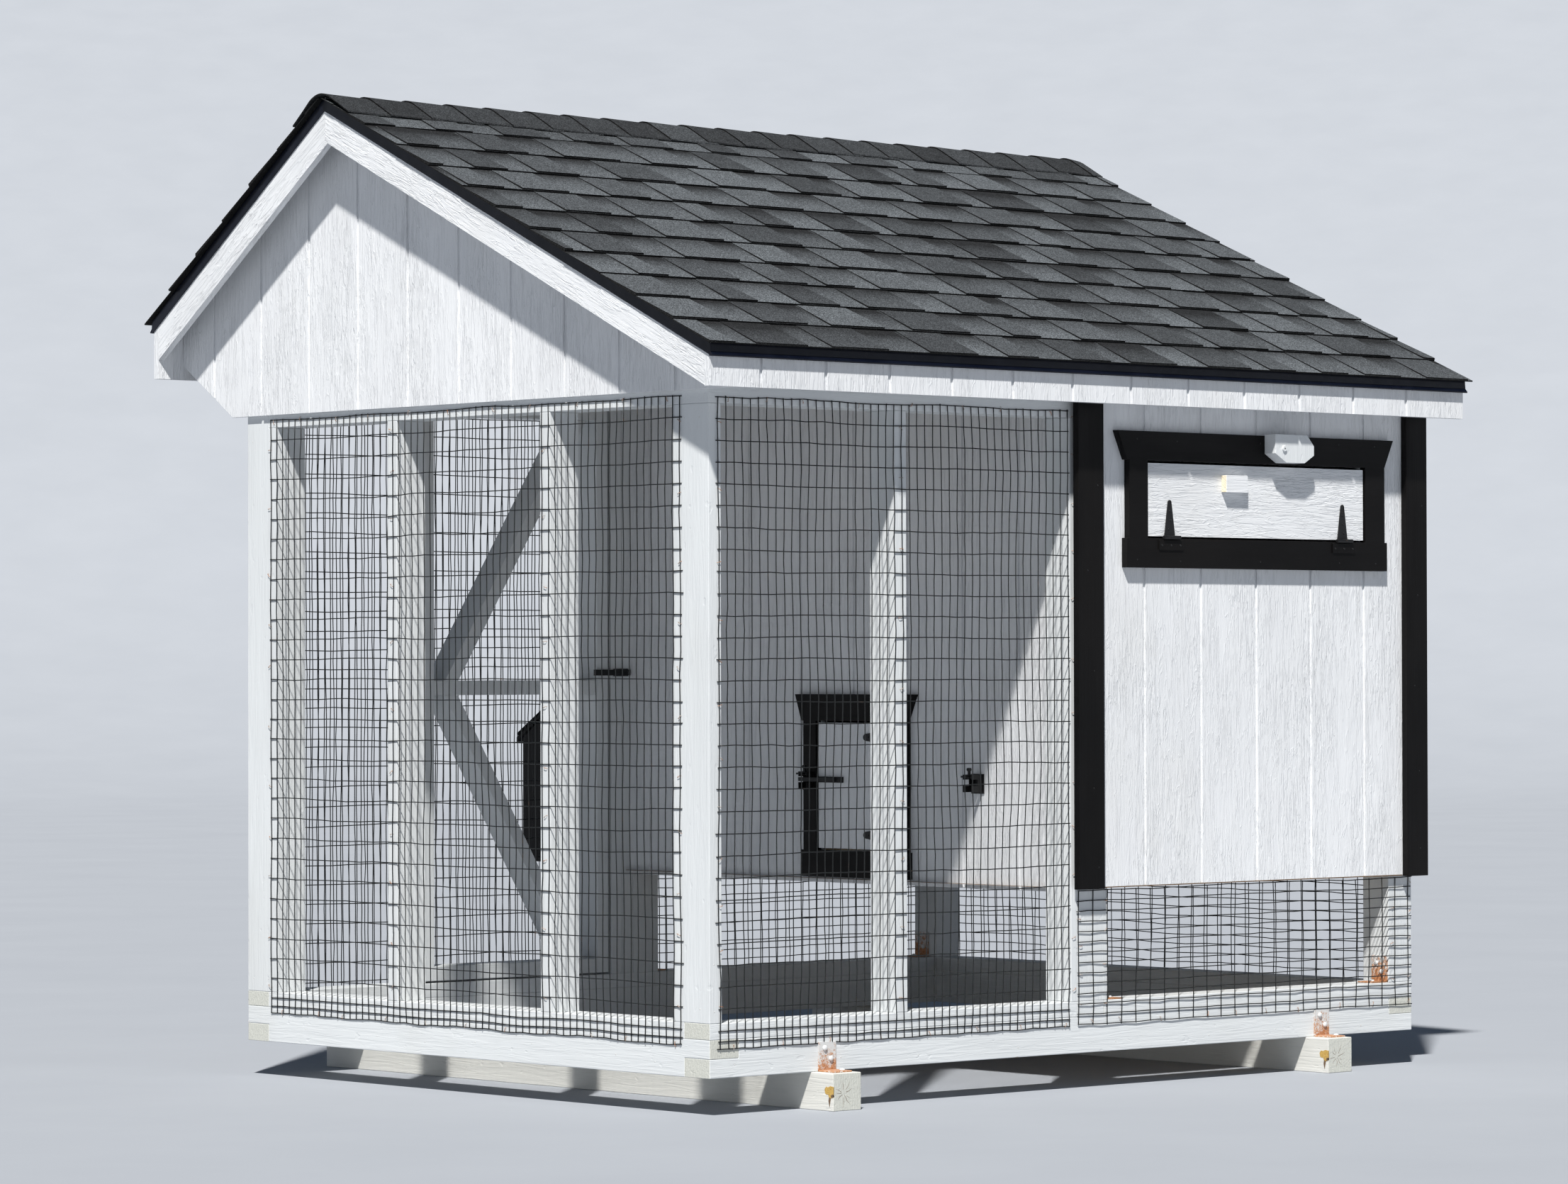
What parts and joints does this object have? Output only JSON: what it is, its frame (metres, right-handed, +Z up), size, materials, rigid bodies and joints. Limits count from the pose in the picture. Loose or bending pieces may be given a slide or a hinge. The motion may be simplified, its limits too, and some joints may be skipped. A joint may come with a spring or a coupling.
{
  "type": "chicken coop",
  "caption": "White sided chicken coop with a black mesh run, saltbox shingle roof, drop hatch, pop door and nest box on skids.",
  "frame": {"origin": "centre of the bounding box footprint, on the ground under the skids", "axes": "+X along the long side from the run to the house, -Y out of the long front, +Z up"},
  "size_m": [2.6568, 2.3624, 2.4812],
  "materials": {
    "white_paint": "white paint on dressed lumber",
    "white_siding": "white paint on embossed panel siding",
    "black_trim": "satin black paint",
    "black_iron": "black powder coat",
    "drip_metal": "gloss black",
    "wire_mesh": "black coated welded wire",
    "shingle": "mineral granules on asphalt",
    "floor_ply": "bare plywood"
  },
  "bodies": {
    "frame": {"skid_left": "white_paint", "skid_right": "white_paint", "base_rail_front": "white_paint", "base_rail_back": "white_paint", "base_rail_left": "white_paint", "base_rail_right": "white_paint", "sill_plate": "white_paint", "corner_post_front_left": "white_paint", "corner_post_back_left": "white_paint", "gable_stud_front": "white_paint", "gable_stud_back": "white_paint", "run_stud_front": "white_paint", "mid_post_front": "white_paint", "mid_post_back": "white_paint", "door_jamb_stud": "white_paint", "corner_post_front_right": "white_paint", "corner_post_back_right": "white_paint", "top_plate_front_left": "white_paint", "top_plate_back": "white_paint", "rake_left": "white_paint", "rake_right": "white_paint", "partition_wall": "white_siding", "house_front_wall": "white_siding", "house_right_wall": "white_siding", "run_gable_siding": "white_siding", "back_wall": "white_siding", "fascia_front": "white_siding", "fascia_back": "white_siding", "nest_box": "white_siding", "corner_trim_mid": "black_trim", "corner_trim_right": "black_trim", "hatch_trim": "black_trim", "pop_trim": "black_trim", "hold_latch": "black_iron", "drip_edge": "drip_metal", "mesh_gable": "wire_mesh", "mesh_front": "wire_mesh", "mesh_back": "wire_mesh", "mesh_under_house": "wire_mesh", "roof_front": "shingle", "roof_back": "shingle", "ridge_cap": "shingle", "house_floor": "floor_ply"},
    "hatch": {"hatch_panel": "white_siding", "hatch_pull": "white_paint", "hatch_strap_left": "black_iron", "hatch_strap_right": "black_iron"},
    "turn_button_body": {"turn_button": "white_paint"},
    "pop_door": {"pop_door_panel": "white_siding", "pop_strap_upper": "black_iron", "pop_strap_lower": "black_iron", "pop_striker": "black_iron"},
    "pop_pawl_body": {"pop_pawl": "black_iron"},
    "hold_pawl_body": {"hold_pawl": "black_iron"},
    "run_door_leaf": {"run_door": "white_paint", "run_door_mesh": "wire_mesh", "run_door_hinge_upper": "black_iron", "run_door_hinge_lower": "black_iron"},
    "run_button_body": {"run_door_button": "white_paint"},
    "nest_lid_body": {"nest_lid": "shingle"}
  },
  "joints": [
    {"name": "hatch_drop", "type": "hinge", "parent": "frame", "child": "hatch", "pos_m": [0.6083, -1.09085, 1.36398], "axis": [1, 0, 0], "range_deg": [0, 180]},
    {"name": "turn_button_turn", "type": "hinge", "parent": "frame", "child": "turn_button_body", "pos_m": [0.66167, -1.1048, 1.59512], "axis": [0, 1, 0], "range_deg": [0, 98.9]},
    {"name": "pop_door_swing", "type": "hinge", "parent": "frame", "child": "pop_door", "pos_m": [-0.03683, -0.386, 0.7366], "axis": [0, 0, 1], "range_deg": [0, 180]},
    {"name": "pop_pawl_lift", "type": "hinge", "parent": "frame", "child": "pop_pawl_body", "pos_m": [-0.04699, -0.08501, 0.76581], "axis": [0, -1, 0], "range_deg": [0, 90]},
    {"name": "hold_pawl_lift", "type": "hinge", "parent": "frame", "child": "hold_pawl_body", "pos_m": [-0.04445, -0.7002, 0.76581], "axis": [0, -1, 0], "range_deg": [0, 90]},
    {"name": "run_door_swing", "type": "hinge", "parent": "frame", "child": "run_door_leaf", "pos_m": [-0.72009, 0.75827, 0.9779], "axis": [0, 0, 1], "range_deg": [0, 110]},
    {"name": "run_button_turn", "type": "hinge", "parent": "frame", "child": "run_button_body", "pos_m": [-0.04572, 0.76462, 0.9906], "axis": [0, -1, 0], "range_deg": [0, 90]},
    {"name": "nest_lid_lift", "type": "hinge", "parent": "frame", "child": "nest_lid_body", "pos_m": [0.6096, 0.77224, 1.13157], "axis": [1, 0, 0], "range_deg": [0, 108]}
  ]
}
